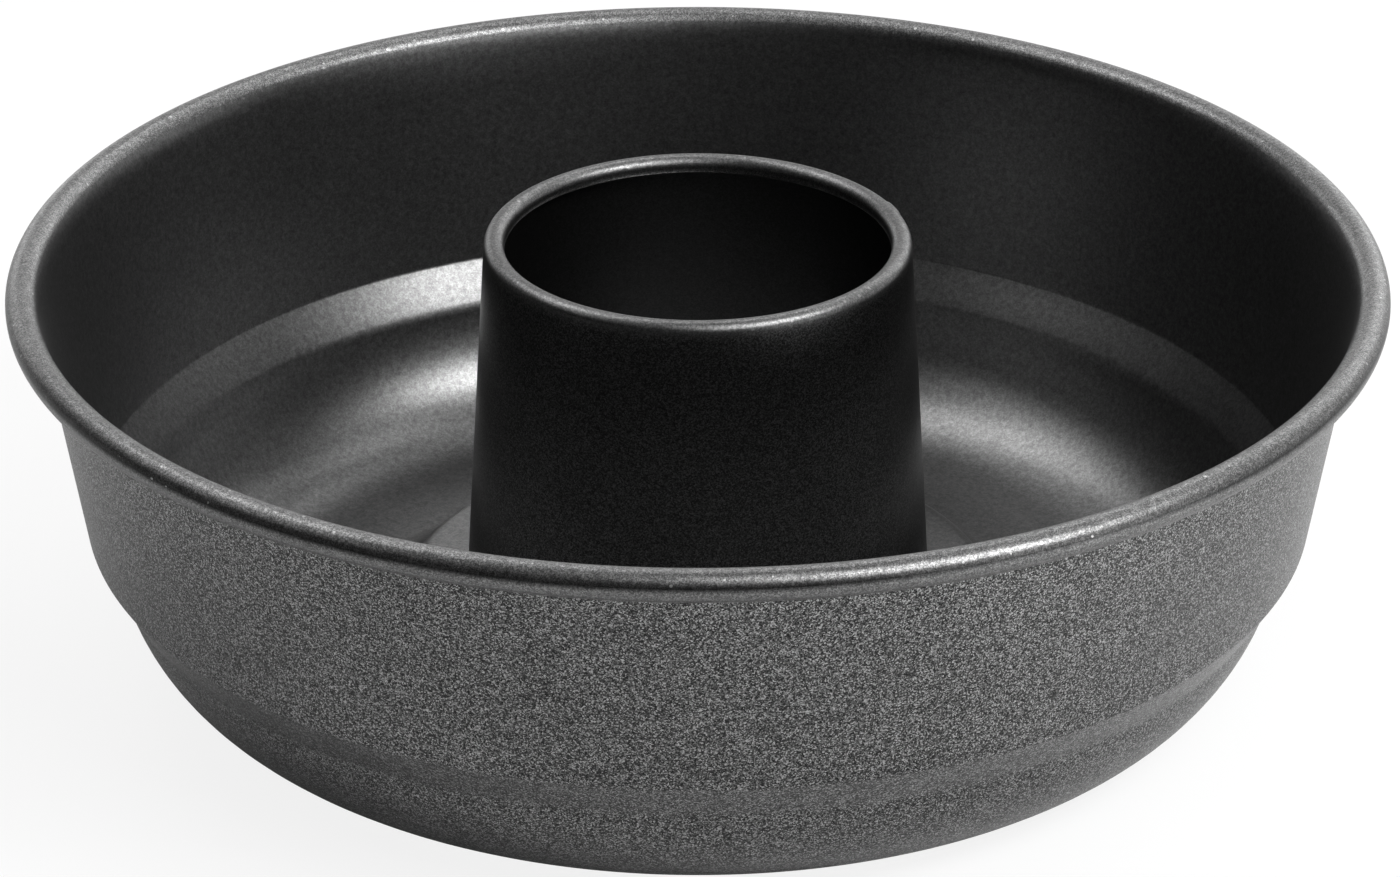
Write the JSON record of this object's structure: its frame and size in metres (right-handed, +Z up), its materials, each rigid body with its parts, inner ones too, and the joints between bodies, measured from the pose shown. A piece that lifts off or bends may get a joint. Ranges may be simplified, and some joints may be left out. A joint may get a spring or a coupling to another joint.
{
  "type": "ring cake pan",
  "caption": "Round ring cake pan of coated sheet steel: rolled rim, tapered stepped wall, round-bottomed channel and a conical centre tube folded into a raised ring.",
  "frame": {"origin": "on the axis of the pan, in the plane that it stands on", "axes": "+Z up along the axis of the pan, -Y towards the viewer of the picture, +X to the viewer's right"},
  "size_m": [0.26, 0.26, 0.0852],
  "materials": {
    "shell_coating": "satin dark grey non-stick coating with a fine metallic grain",
    "tube_coating": "satin dark grey non-stick coating with a fine metallic grain"
  },
  "bodies": {
    "root": {"pan_shell": "shell_coating", "centre_tube": "tube_coating"}
  },
  "joints": []
}
